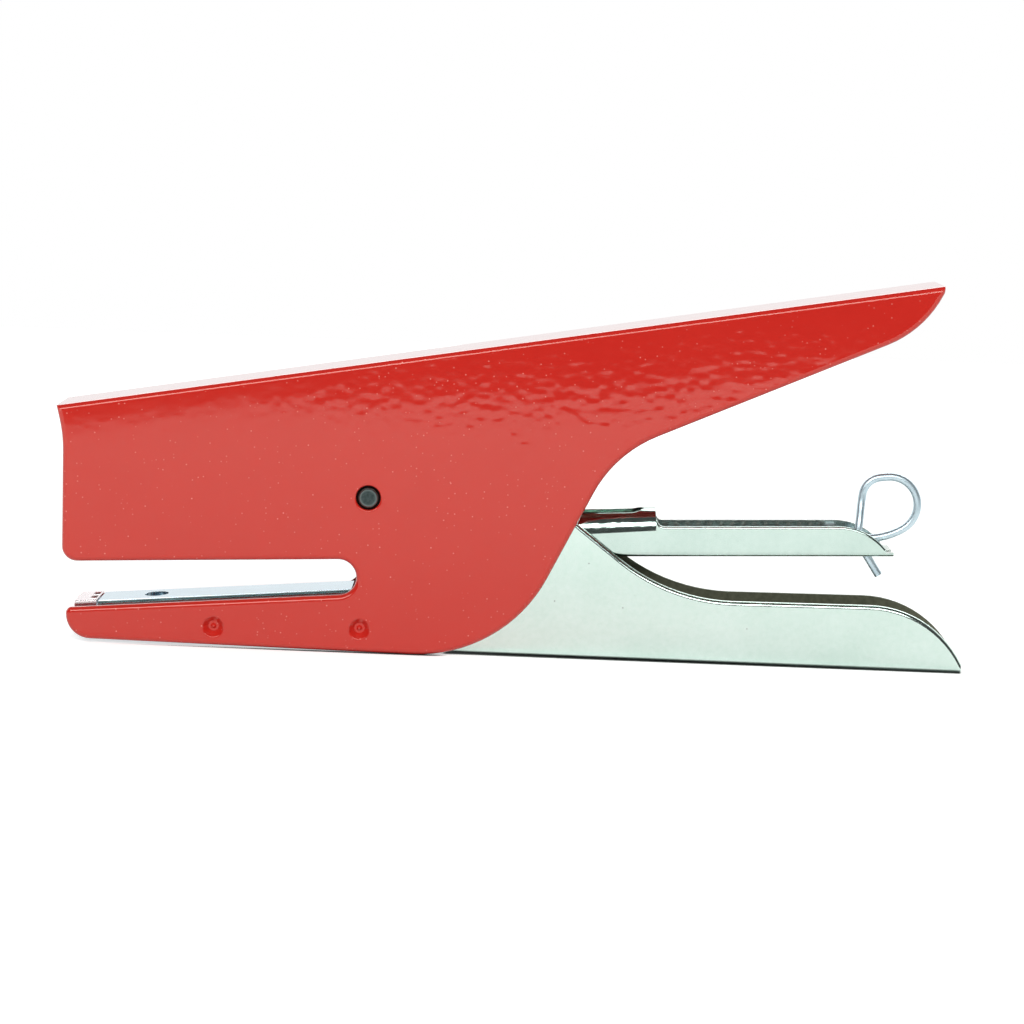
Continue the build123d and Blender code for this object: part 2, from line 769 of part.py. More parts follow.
# Driver blade: stands above the staple at rest and reaches the floor's underside at full squeeze
blade_bottom = floor_bottom + driver_stroke + blade_gap
rivet_places = [(-driver_rivet_spread, driver_rivet_lift), (driver_rivet_spread, driver_rivet_lift)]
with BuildPart() as driver_blade:
    with BuildSketch(magazine_section(blade_front)):
        with Locations((0, blade_bottom)):
            Rectangle(
                2 * (magazine_inner - blade_edge_gap),
                blade_top - blade_bottom,
                align=(Align.CENTER, Align.MIN),
            )
        with Locations(*rivet_places):
            Circle(driver_rivet_radius + tab_fit, mode=Mode.SUBTRACT)
    extrude(amount=blade_thickness)
driver_blade.part.label = "driver_blade"
export_step(driver_blade.part, "parts/driver_blade.step")

# Driver holder: folded stirrup whose cheeks hook on the drive bar
holder_half = magazine_inner - holder_side_gap
with BuildPart() as driver_holder:
    with BuildSketch(magazine_section(blade_rear)):
        with Locations((0, holder_bottom)):
            Rectangle(2 * holder_half, blade_top - holder_bottom, align=(Align.CENTER, Align.MIN))
        with Locations(*rivet_places):
            Circle(driver_rivet_radius + tab_fit, mode=Mode.SUBTRACT)
    extrude(amount=holder_wall)
    for side in (-1, 1):
        with BuildSketch(magazine_side.offset(side * (holder_half - holder_wall))):
            with Locations((blade_rear, holder_cheek_bottom)):
                cheek = Rectangle(
                    holder_cheek_length, blade_top - holder_cheek_bottom, align=(Align.MIN, Align.MIN)
                )
            fillet(cheek.vertices().group_by(Axis.X)[-1], radius=cross_pin_radius)
            with Locations((bar_along - bar_shift / 2, bar_lift)):
                SlotCenterToCenter(bar_shift, 2 * (cross_pin_radius + holder_play), mode=Mode.SUBTRACT)
        extrude(amount=side * holder_wall)
driver_holder.part.label = "driver_holder"
export_step(driver_holder.part, "parts/driver_holder.step")

# Driver rivets: flush in the blade, headed behind the holder
with BuildPart() as driver_rivet_left:
    with BuildSketch(magazine_section(blade_front)):
        with Locations(rivet_places[0]):
            Circle(driver_rivet_radius)
    extrude(amount=blade_thickness + holder_wall)
    with BuildSketch(magazine_section(blade_rear + holder_wall)):
        with Locations(rivet_places[0]):
            Circle(driver_rivet_head)
    extrude(amount=driver_rivet_head_height)
driver_rivet_left.part.label = "driver_rivet_left"
export_step(driver_rivet_left.part, "parts/driver_rivet_left.step")

with BuildPart() as driver_rivet_right:
    with BuildSketch(magazine_section(blade_front)):
        with Locations(rivet_places[1]):
            Circle(driver_rivet_radius)
    extrude(amount=blade_thickness + holder_wall)
    with BuildSketch(magazine_section(blade_rear + holder_wall)):
        with Locations(rivet_places[1]):
            Circle(driver_rivet_head)
    extrude(amount=driver_rivet_head_height)
driver_rivet_right.part.label = "driver_rivet_right"
export_step(driver_rivet_right.part, "parts/driver_rivet_right.step")

# Leaf spring: foot riveted on the hood, free end under the drive bar
leaf_middle = hood_top + leaf_thickness / 2
leaf_front = -leaf_rear - leaf_foot
leaf_under = cross_pin_radius + leaf_bar_gap + leaf_thickness / 2
leaf_across = leaf_front - bar_along
leaf_over = leaf_bend_radius - (bar_lift - leaf_middle)
leaf_reach = math.hypot(leaf_across, leaf_over)
leaf_turn = math.asin((leaf_bend_radius - leaf_under) / leaf_reach) - math.atan2(leaf_over, leaf_across)
leaf_straight = leaf_across * math.cos(leaf_turn) - leaf_over * math.sin(leaf_turn)

with BuildPart() as leaf_spring:
    with BuildLine(magazine_side):
        leaf_flat = Line((-leaf_rear, leaf_middle), (leaf_front, leaf_middle))
        leaf_bend = JernArc(leaf_flat @ 1, leaf_flat % 1, leaf_bend_radius, -math.degrees(leaf_turn))
        Line(leaf_bend @ 1, (leaf_bend @ 1) + (leaf_bend % 1) * (leaf_straight + cross_pin_radius))
    with BuildSketch(magazine_section(-leaf_rear)):
        with Locations((0, leaf_middle)):
            Rectangle(2 * leaf_half_width, leaf_thickness)
    sweep()
    with BuildSketch(hood_plan):
        with Locations((-leaf_rear - leaf_foot / 2, 0)):
            Circle(leaf_rivet_radius + tab_fit)
    extrude(amount=leaf_thickness, mode=Mode.SUBTRACT)
leaf_spring.part.label = "leaf_spring"
export_step(leaf_spring.part, "parts/leaf_spring.step")

# Leaf rivet: through the leaf's foot and the hood
with BuildPart() as leaf_rivet:
    with BuildSketch(hood_plan.offset(-magazine_sheet)):
        with Locations((-leaf_rear - leaf_foot / 2, 0)):
            Circle(leaf_rivet_radius)
    extrude(amount=magazine_sheet + leaf_thickness)
    with BuildSketch(hood_plan.offset(leaf_thickness)):
        with Locations((-leaf_rear - leaf_foot / 2, 0)):
            Circle(leaf_rivet_head)
    extrude(amount=leaf_rivet_head_height)
    with BuildSketch(hood_plan.offset(-magazine_sheet)):
        with Locations((-leaf_rear - leaf_foot / 2, 0)):
            Circle(leaf_rivet_head)
    extrude(amount=-leaf_rivet_head_height)
leaf_rivet.part.label = "leaf_rivet"
export_step(leaf_rivet.part, "parts/leaf_rivet.step")

# Staple pusher: inverted channel with a rear flange that the rod runs through
pusher_front = blade_rear + pusher_front_gap
pusher_rear = pusher_front + pusher_length
pusher_half = staple_width / 2 - pusher_side_gap
pusher_bottom = floor_top + pusher_gap
pusher_height = staple_height - pusher_gap
rod_level = floor_bottom + rod_lift
with BuildPart() as staple_pusher:
    with BuildSketch(magazine_section(pusher_front)):
        with Locations((0, pusher_bottom)):
            Rectangle(2 * pusher_half, pusher_height, align=(Align.CENTER, Align.MIN))
            Rectangle(
                2 * (pusher_half - pusher_sheet),
                pusher_height - pusher_sheet,
                align=(Align.CENTER, Align.MIN),
                mode=Mode.SUBTRACT,
            )
    extrude(amount=pusher_length)
    with BuildSketch(magazine_section(pusher_rear - pusher_sheet)):
        with Locations((0, pusher_bottom)):
            Rectangle(2 * pusher_half, pusher_height, align=(Align.CENTER, Align.MIN))
        with Locations((0, rod_level)):
            Circle(rod_radius + rod_fit, mode=Mode.SUBTRACT)
    extrude(amount=pusher_sheet)
staple_pusher.part.label = "staple_pusher"
export_step(staple_pusher.part, "parts/staple_pusher.step")

# Pusher rod: wire with a head at the front, a finger ring at the rear and a latch leg below the floor
rod_head_rear = pusher_rear - pusher_sheet - rod_head_gap
rod_head_front = rod_head_rear - rod_head_length
across_y = Vector(0, 1, 0)
with BuildPart() as pusher_rod:
    with BuildLine(magazine_side):
        shank = Line((rod_head_front, rod_level), (ring_lead_start, rod_level))
        lead = JernArc(shank @ 1, shank % 1, ring_lead_radius, ring_lead_turn)
        ring = JernArc(lead @ 1, lead % 1, ring_radius, ring_turn)
        ring_top = Line(ring @ 1, (ring @ 1) + (ring % 1) * ring_top_length)
        corner = JernArc(ring_top @ 1, ring_top % 1, ring_corner_radius, ring_corner_turn)
        shift_middle = (corner @ 1) + (corner % 1) * (leg_shift_depth / 2) - across_y * (leg_offset / 2)
        shift_end = (corner @ 1) + (corner % 1) * leg_shift_depth - across_y * leg_offset
        shift_first = TangentArc(corner @ 1, shift_middle, tangent=corner % 1)
        shift_second = TangentArc(shift_middle, shift_end, tangent=shift_first % 1)
        leg_bend = JernArc(shift_end, shift_second % 1, leg_bend_radius, leg_turn)
        Line(leg_bend @ 1, (leg_bend @ 1) + (leg_bend % 1) * leg_length)
    with BuildSketch(magazine_section(rod_head_front)):
        with Locations((0, rod_level)):
            Circle(rod_radius)
    sweep()
    with BuildSketch(magazine_section(rod_head_front)):
        with Locations((0, rod_level)):
            Circle(rod_head_radius)
    extrude(amount=rod_head_length)
pusher_rod.part.label = "pusher_rod"
export_step(pusher_rod.part, "parts/pusher_rod.step")

# Rod collar: crimped on the rod, rear seat of the pusher spring
collar_rear = leg_slot_start - collar_rear_gap
collar_front = collar_rear - collar_length
with BuildPart() as rod_collar:
    with BuildSketch(magazine_section(collar_front)):
        with Locations((0, rod_level)):
            Circle(collar_radius)
            Circle(rod_radius + tab_fit, mode=Mode.SUBTRACT)
    extrude(amount=collar_length)
rod_collar.part.label = "rod_collar"
export_step(rod_collar.part, "parts/rod_collar.step")


def bend_to(start, start_way, end, end_way):
    """Two arcs that leave one point along one direction and reach the other along the other."""
    span = end - start
    both = start_way + end_way
    square = both.dot(both) - 4
    middle = span.dot(both)
    reach = (middle - math.sqrt(middle * middle - square * span.dot(span))) / square
    first_corner = start + start_way * reach
    second_corner = end - end_way * reach
    joint = (first_corner + second_corner) * 0.5
    TangentArc(start, joint, tangent=start_way)
    TangentArc(joint, end, tangent=(second_corner - first_corner).normalized())


def least_gap(wire, thickness, count):
    """Smallest free distance between two stretches of the same wire."""
    points = [wire @ (number / count) for number in range(count + 1)]
    skip = math.ceil(3 * thickness * count / wire.length)
    gaps = []
    for number, point in enumerate(points):
        others = points[number + skip:]
        gaps.extend((point - other).length for other in others)
    return min(gaps) - thickness


# Pusher spring: long compression spring around the rod, each end turned square to its seat
spring_start = pusher_rear + spring_seat_gap
spring_end = collar_front - spring_seat_gap
spring_body_start = spring_start + 2 * spring_wire
spring_body_end = spring_end - 2 * spring_wire
spring_rise = (spring_body_end - spring_body_start) / spring_turns
spring_axis_start = magazine_side.from_local_coords((0, rod_level, 0))


def spring_point(along, angle):
    """Point on the pusher spring's middle line."""
    outwards = across_y * math.cos(angle) + magazine_up * math.sin(angle)
    return spring_axis_start + magazine_axis * along + outwards * spring_mean_radius


def spring_way(angle):
    """Direction of the pusher spring's wire at this angle."""
    around = magazine_up * math.cos(angle) - across_y * math.sin(angle)
    return (around * (2 * math.pi * spring_mean_radius) + magazine_axis * spring_rise).normalized()


with BuildPart() as pusher_spring:
    with BuildLine() as spring_path:
        front_end = spring_point(spring_start, -math.pi / 2)
        front_stub = front_end + magazine_axis * spring_wire
        Line(front_end, front_stub)
        bend_to(front_stub, magazine_axis, spring_point(spring_body_start, 0), spring_way(0))
        for half in range(2 * spring_turns):
            first_angle = math.pi * half
            last_angle = math.pi * (half + 1)
            first_point = spring_point(spring_body_start + spring_rise * half / 2, first_angle)
            last_point = spring_point(spring_body_start + spring_rise * (half + 1) / 2, last_angle)
            bend_to(first_point, spring_way(first_angle), last_point, spring_way(last_angle))
        rear_end = spring_point(spring_end, math.pi / 2)
        rear_stub = rear_end - magazine_axis * spring_wire
        bend_to(spring_point(spring_body_end, 0), spring_way(0), rear_stub, magazine_axis)
        Line(rear_stub, rear_end)
    with BuildSketch(Plane(origin=front_end, z_dir=magazine_axis)):
        Circle(spring_wire / 2)
    sweep()
pusher_spring.part.label = "pusher_spring"
export_step(pusher_spring.part, "parts/pusher_spring.step")
print("pusher spring gap", round(least_gap(spring_path.wire(), spring_wire, 2400), 3))

# Return spring: coil on the pin, one leg against the spine, the other under the arm spacer
spine_normal = Vector(-spine_slope, 0, 1).normalized()
spine_over_pivot = (spine(pivot_x) - spine_drop - pivot_height) * spine_normal.Z
rear_leg_length = spine_over_pivot - return_leg_gap
spacer_from_pivot = (spacer_place[0] - pivot_x, spacer_place[1] - pivot_height)
spacer_far = math.hypot(*spacer_from_pivot)
spacer_way = math.atan2(spacer_from_pivot[1], -spacer_from_pivot[0])
leg_under = cross_pin_radius + return_wire / 2 + return_leg_gap
front_leg_angle = spacer_way + math.asin((return_mean_radius - leg_under) / spacer_far)
front_leg_length = spacer_far + 2 * cross_pin_radius
coil_first_angle = math.radians(spine_angle)
coil_last_angle = -math.pi / 2 - front_leg_angle - 2 * math.pi * return_turns
coil_width = return_pitch * (coil_first_angle - coil_last_angle) / (2 * math.pi)
coil_quarters = 4 * return_turns + 2


def coil_point(share):
    """Point on the coil, this share of the way from the rear leg to the front leg."""
    angle = coil_first_angle + (coil_last_angle - coil_first_angle) * share
    outwards = Vector(math.cos(angle), 0, math.sin(angle))
    return Vector(pivot_x, coil_width * (share - 0.5), pivot_height) + outwards * return_mean_radius


def coil_way(share):
    """Direction of the coil's wire at this share; both legs leave it without any sideways part."""
    angle = coil_first_angle + (coil_last_angle - coil_first_angle) * share
    around = Vector(math.sin(angle), 0, -math.cos(angle))
    if share in (0, 1):
        return around
    return (around * (2 * math.pi * return_mean_radius) + across_y * return_pitch).normalized()


with BuildPart() as return_spring:
    with BuildLine() as return_path:
        rear_leg_top = coil_point(0) + spine_normal * rear_leg_length
        Line(rear_leg_top, coil_point(0))
        for quarter in range(coil_quarters):
            here = quarter / coil_quarters
            there = (quarter + 1) / coil_quarters
            bend_to(coil_point(here), coil_way(here), coil_point(there), coil_way(there))
        Line(coil_point(1), coil_point(1) + coil_way(1) * front_leg_length)
    with BuildSketch(Plane(origin=rear_leg_top, z_dir=coil_way(0))):
        Circle(return_wire / 2)
    sweep()
return_spring.part.label = "return_spring"
export_step(return_spring.part, "parts/return_spring.step")
print("return spring gap", round(least_gap(return_path.wire(), return_wire, 900), 3))
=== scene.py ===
import math

import bpy
from mathutils import Matrix, Vector


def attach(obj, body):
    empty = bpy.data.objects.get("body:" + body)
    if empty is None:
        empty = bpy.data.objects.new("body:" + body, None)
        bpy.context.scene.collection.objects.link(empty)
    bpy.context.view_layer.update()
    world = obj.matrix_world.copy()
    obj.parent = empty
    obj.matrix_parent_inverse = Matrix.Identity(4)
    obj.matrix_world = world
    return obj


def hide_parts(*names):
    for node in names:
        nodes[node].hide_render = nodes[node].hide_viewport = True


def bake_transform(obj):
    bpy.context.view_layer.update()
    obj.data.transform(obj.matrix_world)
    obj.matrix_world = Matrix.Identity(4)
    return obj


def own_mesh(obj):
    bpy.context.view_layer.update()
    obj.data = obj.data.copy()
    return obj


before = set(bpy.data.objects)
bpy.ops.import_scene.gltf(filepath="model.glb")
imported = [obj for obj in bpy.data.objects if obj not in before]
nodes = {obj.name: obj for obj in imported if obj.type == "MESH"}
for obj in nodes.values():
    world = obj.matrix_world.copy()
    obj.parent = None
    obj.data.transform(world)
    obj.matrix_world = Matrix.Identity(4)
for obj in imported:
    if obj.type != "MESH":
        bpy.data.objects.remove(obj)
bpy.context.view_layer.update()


# Body: one folded steel sheet, dipped in red enamel and baked after the folding.
# The thick clear gloss on the pigment has drawn into low waves on the flat plates, and dust
# that settled before the baking stands out as small pale specks.
def linear(code):
    """Linear colour of an sRGB hex code."""
    parts = [int(code[place:place + 2], 16) / 255 for place in (1, 3, 5)]
    shades = [part / 12.92 if part <= 0.04045 else ((part + 0.055) / 1.055) ** 2.4 for part in parts]
    return shades + [1.0]


def add_node(tree, kind, inputs=None, **settings):
    """Adds a shader node, sets it, and fills or links its inputs."""
    made = tree.nodes.new("ShaderNode" + kind)
    for name, value in settings.items():
        setattr(made, name, value)
    for place, value in (inputs or {}).items():
        if isinstance(value, bpy.types.NodeSocket):
            tree.links.new(value, made.inputs[place])
        else:
            made.inputs[place].default_value = value
    return made


def new_finish(name):
    """Empty material with its node tree."""
    finish = bpy.data.materials.new(name)
    finish.use_nodes = True
    finish.node_tree.nodes.clear()
    return finish, finish.node_tree


def coat_with(finish, *names):
    """Gives these pieces one finish in all their slots."""
    for name in names:
        mesh = nodes[name].data
        mesh.materials.clear()
        mesh.materials.append(finish)


red_enamel, tree = new_finish("baked_red_enamel")
place = add_node(tree, "TexCoord").outputs["Object"]
# Waves of a dipped coat, about 1.9 mm along the plate and 1.3 mm up it, which flatten towards the jaw
stretch = add_node(tree, "Mapping", {"Vector": place, "Scale": (1000 / 1.9, 1000 / 1.9, 1000 / 1.3)})
waves = add_node(tree, "TexNoise", {"Vector": stretch.outputs[0], "Scale": 1.0, "Detail": 0.0})
along = add_node(tree, "SeparateXYZ", {0: place})
rough_end = add_node(
    tree, "MapRange", {"Value": along.outputs["X"], 1: -0.05, 2: -0.015, 3: 0.2, 4: 1.0}
)
waves = add_node(tree, "Math", {0: waves.outputs["Fac"], 1: rough_end.outputs[0]}, operation="MULTIPLY")
# Clouds of pigment of 14 mm
cloud = add_node(tree, "TexNoise", {"Vector": place, "Scale": 1000 / 14, "Detail": 3.0, "Roughness": 0.55})
# Dust specks up to 0.17 mm in radius in cells of 1 mm, from faint to pale and thicker in some places
specks = add_node(tree, "TexVoronoi", {"Vector": place, "Scale": 1000 / 1.0, "Randomness": 1.0})
speck_pick = add_node(tree, "SeparateColor", {"Color": specks.outputs["Color"]})
speck_few = add_node(
    tree, "Math", {0: speck_pick.outputs[0], 1: cloud.outputs["Fac"]}, operation="MULTIPLY"
)
speck_few = add_node(tree, "MapRange", {"Value": speck_few.outputs[0], 1: 0.2, 2: 0.5, 3: 0.0, 4: 1.0})
speck_dot = add_node(
    tree, "MapRange", {"Value": specks.outputs["Distance"], 1: 0.06, 2: 0.17, 3: 1.0, 4: 0.0}
)
speck = add_node(tree, "Math", {0: speck_dot.outputs[0], 1: speck_few.outputs[0]}, operation="MULTIPLY")
tone = add_node(
    tree,
    "Mix",
    {"Factor": cloud.outputs["Fac"], "A": linear("#C8261E"), "B": linear("#CE2C23")},
    data_type="RGBA",
)
tone = add_node(
    tree,
    "Mix",
    {"Factor": speck.outputs[0], "A": tone.outputs["Result"], "B": linear("#E88378")},
    data_type="RGBA",
)
gloss = add_node(tree, "MapRange", {"Value": cloud.outputs["Fac"], 1: 0.3, 2: 0.7, 3: 0.06, 4: 0.1})
relief = add_node(tree, "Bump", {"Strength": 0.4, "Distance": 0.00006, "Height": waves.outputs[0]})
relief = add_node(
    tree,
    "Bump",
    {"Strength": 0.3, "Distance": 0.00003, "Height": speck.outputs[0], "Normal": relief.outputs[0]},
)
skin = add_node(
    tree,
    "BsdfPrincipled",
    {
        "Base Color": tone.outputs["Result"],
        "Roughness": gloss.outputs[0],
        "IOR": 1.33,
        "Specular Tint": linear("#FFF4C8"),
        "Normal": relief.outputs[0],
        "Coat Weight": 1.0,
        "Coat Roughness": 0.06,
        "Coat IOR": 1.5,
        "Coat Normal": relief.outputs[0],
    },
)
add_node(tree, "OutputMaterial", {"Surface": skin.outputs[0]})
coat_with(red_enamel, "body_shell")

# Pivot pin: free-cutting steel, turned and blackened, its reduced ends flush with the plates.
# The outer ring and chamfer of each end carry a lighter painted highlight, and the shoulder at the floor of
# the gap round each end is painted near black as shade.
dark_pin, tree = new_finish("blackened_turned_steel")
place = add_node(tree, "TexCoord").outputs["Object"]
pin_centre = (-0.02535, 0, 0.0277)
off_centre = add_node(tree, "VectorMath", {0: place, 1: pin_centre}, operation="SUBTRACT")
pin_part = add_node(tree, "SeparateXYZ", {0: off_centre.outputs[0]})
pin_flat = add_node(tree, "CombineXYZ", {0: pin_part.outputs["X"], 2: pin_part.outputs["Z"]})
far_out = add_node(tree, "VectorMath", {0: pin_flat.outputs[0]}, operation="LENGTH")
along = add_node(tree, "Math", {0: pin_part.outputs["Y"]}, operation="ABSOLUTE")
# A lighter painted highlight starts 1.1 mm off the axis, and near-black painted shade covers the shoulder,
# up to 6.2 mm from the middle of the pin
painted_chamfer_highlight = add_node(tree, "MapRange", {"Value": far_out.outputs["Value"], 1: 0.0011, 2: 0.0014})
painted_recess_shade = add_node(tree, "MapRange", {"Value": along.outputs[0], 1: 0.0062, 2: 0.0064, 3: 1.0, 4: 0.0})
# Turning marks are a few hundredths of a millimetre; drawn at 0.35 mm so that they show
marks = add_node(tree, "TexNoise", {"Vector": place, "Scale": 1000 / 0.35, "Detail": 2.0, "Roughness": 0.6})
tone = add_node(
    tree,
    "Mix",
    {"Factor": marks.outputs["Fac"], "A": linear("#1E2A2A"), "B": linear("#62706F")},
    data_type="RGBA",
)
# painted highlight: lighter on the outer ring and chamfer of each end
tone = add_node(
    tree,
    "Mix",
    {"Factor": painted_chamfer_highlight.outputs[0], "A": tone.outputs["Result"], "B": linear("#75817F")},
    data_type="RGBA",
)
# painted shade: near black on the shoulder at the floor of the gap round each end
tone = add_node(
    tree,
    "Mix",
    {"Factor": painted_recess_shade.outputs[0], "A": tone.outputs["Result"], "B": linear("#1A1110")},
    data_type="RGBA",
)
gloss = add_node(tree, "MapRange", {"Value": marks.outputs["Fac"], 1: 0.3, 2: 0.7, 3: 0.3, 4: 0.5})
relief = add_node(tree, "Bump", {"Strength": 0.5, "Distance": 0.00004, "Height": marks.outputs["Fac"]})
skin = add_node(
    tree,
    "BsdfPrincipled",
    {
        "Base Color": tone.outputs["Result"],
        "Metallic": 1.0,
        "Roughness": gloss.outputs[0],
        "Normal": relief.outputs[0],
    },
)
add_node(tree, "OutputMaterial", {"Surface": skin.outputs[0]})
coat_with(dark_pin, "pivot_pin")

# Cross pins and rivets: bright steel bar and wire, turned or headed cold.
# Fine turning rings and a faint stain break up the shine.
turned_steel, tree = new_finish("bright_turned_steel")
place = add_node(tree, "TexCoord").outputs["Object"]
# Turning marks drawn at 0.25 mm so that they show, stain of 1.5 mm
marks = add_node(tree, "TexNoise", {"Vector": place, "Scale": 1000 / 0.25, "Detail": 2.0, "Roughness": 0.6})
stain = add_node(tree, "TexNoise", {"Vector": place, "Scale": 1000 / 1.5, "Detail": 3.0, "Roughness": 0.6})
tone = add_node(
    tree,
    "Mix",
    {"Factor": stain.outputs["Fac"], "A": linear("#8F9390"), "B": linear("#B9BEBA")},
    data_type="RGBA",
)
gloss = add_node(tree, "MapRange", {"Value": marks.outputs["Fac"], 1: 0.3, 2: 0.7, 3: 0.24, 4: 0.4})
edge = add_node(tree, "Bevel", {"Radius": 0.00012}, samples=4)
relief = add_node(
    tree,
    "Bump",
    {"Strength": 0.25, "Distance": 0.00003, "Height": marks.outputs["Fac"], "Normal": edge.outputs[0]},
)
skin = add_node(
    tree,
    "BsdfPrincipled",
    {
        "Base Color": tone.outputs["Result"],
        "Metallic": 1.0,
        "Roughness": gloss.outputs[0],
        "Normal": relief.outputs[0],
    },
)
add_node(tree, "OutputMaterial", {"Surface": skin.outputs[0]})
coat_with(turned_steel, "drive_bar", "arm_spacer", "leaf_rivet")
coat_with(turned_steel, "driver_rivet_left", "driver_rivet_right")

# Anvil channel, magazine, front plate and lever: steel sheet, cut, folded, then nickel plated in a barrel.
# The plate is bright with a faint mottle and a few pits. Inside the narrow lever it is dull and a dark
# olive, which is painted shade of the channel, and the magazine's tray is stained by use.
# The tones differ per piece: the magazine's and the anvil's are set darker than the lever's, shaded copies
# of one plating that stand in for the light each piece takes.
for name, inner_half, inner_start, low_code, high_code, inside_shade_and_stain_code, dull_gloss in (
    # Half width and start of that inside are in mm along Y and X; 0 is for a piece that has none
    ("anvil_channel", 0.0, 0, "#C2D6E0", "#CFE2EB", "#888B78", 0.5),
    ("magazine_channel", 3.61, 25.2, "#C6DCD3", "#D8EBE3", "#CCD6D0", 0.2),
    ("front_plate", 0.0, 0, "#D4EAE0", "#E4F5EE", "#888B78", 0.5),
    ("lever_channel", 4.56, -80, "#D4EAE0", "#E4F5EE", "#888B78", 0.5),
):
    nickel, tree = new_finish("nickel_plate_of_" + name)
    place = add_node(tree, "TexCoord").outputs["Object"]
    across = add_node(tree, "SeparateXYZ", {0: place})
    far_in = add_node(tree, "Math", {0: across.outputs["Y"]}, operation="ABSOLUTE")
    within = add_node(
        tree,
        "MapRange",
        {"Value": far_in.outputs[0], 1: inner_half / 1000, 2: inner_half / 1000 + 0.00005, 3: 1.0, 4: 0.0},
    )
    # The lever's own floor is 1 mm thick and bright again below; ahead of its start the hood is bright too
    above = add_node(tree, "MapRange", {"Value": across.outputs["Z"], 1: 0.0007, 2: 0.0009})
    behind = add_node(
        tree,
        "MapRange",
        {"Value": across.outputs["X"], 1: inner_start / 1000, 2: inner_start / 1000 + 0.0002},
    )
    inside = add_node(tree, "Math", {0: within.outputs[0], 1: above.outputs[0]}, operation="MULTIPLY")
    inside = add_node(tree, "Math", {0: inside.outputs[0], 1: behind.outputs[0]}, operation="MULTIPLY")
    # Barrel rubbing leaves a mottle of about 0.9 mm; slow clouds of 12 mm come from the bath
    mottle = add_node(
        tree, "TexNoise", {"Vector": place, "Scale": 1000 / 0.9, "Detail": 3.0, "Roughness": 0.6}
    )
    cloud = add_node(
        tree, "TexNoise", {"Vector": place, "Scale": 1000 / 12, "Detail": 2.0, "Roughness": 0.5}
    )
    # Pits of about 0.1 mm in radius, one in every fifth cell of 2 mm
    pits = add_node(tree, "TexVoronoi", {"Vector": place, "Scale": 1000 / 2.0, "Randomness": 1.0})
    pit_pick = add_node(tree, "SeparateColor", {"Color": pits.outputs["Color"]})
    pit_few = add_node(tree, "Math", {0: pit_pick.outputs[0], 1: 0.8}, operation="GREATER_THAN")
    pit_dot = add_node(
        tree, "MapRange", {"Value": pits.outputs["Distance"], 1: 0.04, 2: 0.07, 3: 1.0, 4: 0.0}
    )
    pit = add_node(tree, "Math", {0: pit_dot.outputs[0], 1: pit_few.outputs[0]}, operation="MULTIPLY")
    blotch = add_node(
        tree,
        "Mix",
        {"Factor": 0.5, "A": cloud.outputs["Fac"], "B": mottle.outputs["Fac"]},
        data_type="FLOAT",
    )
    blotch = add_node(tree, "MapRange", {"Value": blotch.outputs["Result"], 1: 0.3, 2: 0.7})
    tone = add_node(
        tree,
        "Mix",
        {"Factor": blotch.outputs[0], "A": linear(low_code), "B": linear(high_code)},
        data_type="RGBA",
    )
    tone = add_node(
        tree,
        "Mix",
        {"Factor": pit.outputs[0], "A": tone.outputs["Result"], "B": linear("#8E9892")},
        data_type="RGBA",
    )
    stain = add_node(tree, "MapRange", {"Value": mottle.outputs["Fac"], 1: 0.3, 2: 0.7, 3: 0.75, 4: 1.15})
    # painted shade and stain: inside the lever a dark olive stands in for shade, inside the magazine a
    # stained grey
    inside_shade_and_stain = add_node(
        tree,
        "Mix",
        {"Factor": 1.0, "A": linear(inside_shade_and_stain_code), "B": stain.outputs[0]},
        data_type="RGBA",
        blend_type="MULTIPLY",
    )
    tone = add_node(
        tree,
        "Mix",
        {"Factor": inside.outputs[0], "A": tone.outputs["Result"], "B": inside_shade_and_stain.outputs["Result"]},
        data_type="RGBA",
    )
    bright = add_node(tree, "MapRange", {"Value": mottle.outputs["Fac"], 1: 0.3, 2: 0.7, 3: 0.08, 4: 0.16})
    gloss = add_node(
        tree,
        "Mix",
        {"Factor": inside.outputs[0], "A": bright.outputs[0], "B": dull_gloss},
        data_type="FLOAT",
    )
    edge = add_node(tree, "Bevel", {"Radius": 0.00015}, samples=4)
    relief = add_node(
        tree,
        "Bump",
        {"Strength": 0.1, "Distance": 0.00004, "Height": mottle.outputs["Fac"], "Normal": edge.outputs[0]},
    )
    skin = add_node(
        tree,
        "BsdfPrincipled",
        {
            "Base Color": tone.outputs["Result"],
            "Metallic": 1.0,
            "Roughness": gloss.outputs["Result"],
            "Normal": relief.outputs[0],
        },
    )
    add_node(tree, "OutputMaterial", {"Surface": skin.outputs[0]})
    coat_with(nickel, name)

# Clinch plate, driver blade and its holder: tool steel, hardened, ground flat and polished,
# so fine grinding lines run lengthwise over a bright metal with a faint pink tint, a painted reflection of
# the red body.
ground_steel, tree = new_finish("hardened_ground_steel")
place = add_node(tree, "TexCoord").outputs["Object"]
# Grinding lines every 0.12 mm, stretched along X
stretch = add_node(tree, "Mapping", {"Vector": place, "Scale": (0.06, 1.0, 1.0)})
lines = add_node(
    tree, "TexNoise", {"Vector": stretch.outputs[0], "Scale": 1000 / 0.12, "Detail": 2.0, "Roughness": 0.6}
)
tint_cloud = add_node(tree, "TexNoise", {"Vector": place, "Scale": 1000 / 3.0, "Detail": 2.0, "Roughness": 0.5})
